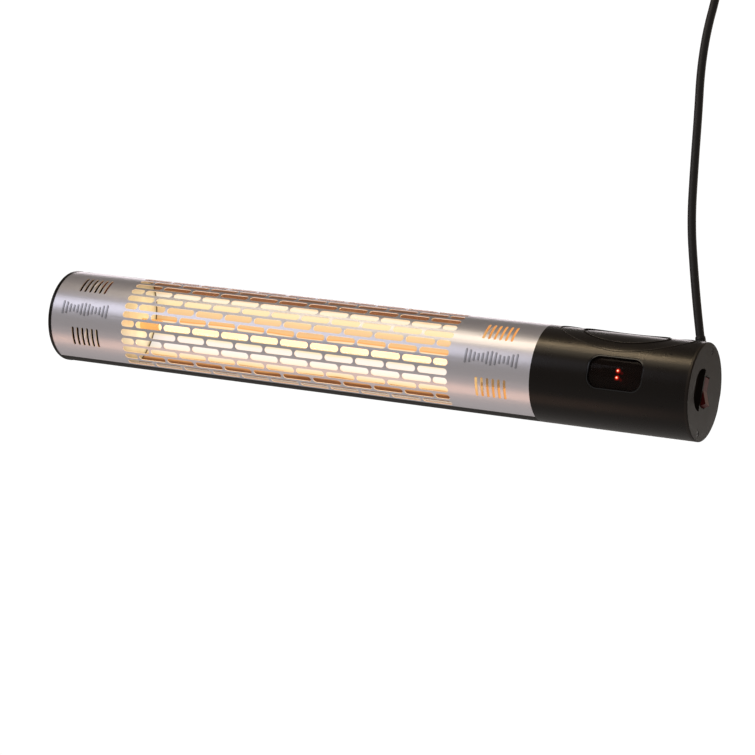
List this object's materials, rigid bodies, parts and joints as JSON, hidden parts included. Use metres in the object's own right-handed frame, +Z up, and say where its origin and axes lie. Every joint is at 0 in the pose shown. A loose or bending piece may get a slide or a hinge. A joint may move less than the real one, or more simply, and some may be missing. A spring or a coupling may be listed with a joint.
{
  "type": "tubular infrared heat lamp",
  "caption": "Tubular infrared food warmer with a slotted steel front over a glowing lamp, a black control end with window and rocker switch, and a cord up to a ceiling fitting.",
  "frame": {"origin": "middle of the flat mounting face on the back, between the two mounting threads", "axes": "+X along the tube towards the control end, +Y out of the back into the wall or bracket, +Z up"},
  "size_m": [0.8163, 0.1224, 0.5584],
  "materials": {
    "steel": "fine brushed stainless",
    "black_steel": "satin black powder coat",
    "zinc": "zinc plated",
    "polished": "polished",
    "plain_sheet": "mill finish",
    "quartz": "clear quartz",
    "glow": "glowing tungsten",
    "ceramic": "white ceramic",
    "black_plastic": "satin moulded",
    "gloss_black": "gloss moulded",
    "smoked_lens": "smoked acrylic",
    "red_light": "lit",
    "red_rocker": "translucent moulded",
    "board": "solder mask",
    "component": "moulded",
    "blue_part": "moulded",
    "screw": "blackened steel",
    "tin": "tinned",
    "lead_sleeve": "braided glass sleeve",
    "wire_blue": "insulation",
    "cord": "black sheath"
  },
  "bodies": {
    "heater": {"front_grille": "steel", "rear_shell": "black_steel", "upper_rail": "zinc", "lower_rail": "zinc", "mount_plate": "zinc", "mount_nuts": "zinc", "reflector": "polished", "rear_baffle": "plain_sheet", "end_plate_left": "plain_sheet", "end_plate_right": "plain_sheet", "heat_shield": "plain_sheet", "lamp_tube": "quartz", "filament": "glow", "lamp_base_left": "ceramic", "lamp_base_right": "ceramic", "lamp_holder_left": "ceramic", "lamp_holder_right": "ceramic", "lamp_lead_left": "lead_sleeve", "lamp_lead_right": "lead_sleeve", "left_cap": "black_plastic", "control_housing": "black_plastic", "housing_screws": "screw", "window_bezel": "gloss_black", "window_lens": "smoked_lens", "control_board": "board", "board_screws": "tin", "status_leds": "red_light", "ir_receiver": "gloss_black", "relay": "blue_part", "transformer": "component", "capacitor": "component", "terminal_block": "component", "thermal_cutout": "tin", "right_cap": "black_plastic", "cap_screws": "screw", "switch_body": "gloss_black", "switch_terminals": "tin", "switch_lead": "wire_blue", "cord_bushing": "black_plastic", "inner_cord": "cord", "strain_relief": "cord", "supply_cord": "cord", "cord_grip": "black_plastic", "ceiling_cup": "black_plastic"},
    "rocker": {"power_rocker": "red_rocker"}
  },
  "joints": [
    {"name": "rocker_pivot", "type": "hinge", "parent": "heater", "child": "rocker", "pos_m": [0.4, -0.052, 0], "axis": [0, 1, 0], "range_deg": [0, 20]}
  ]
}
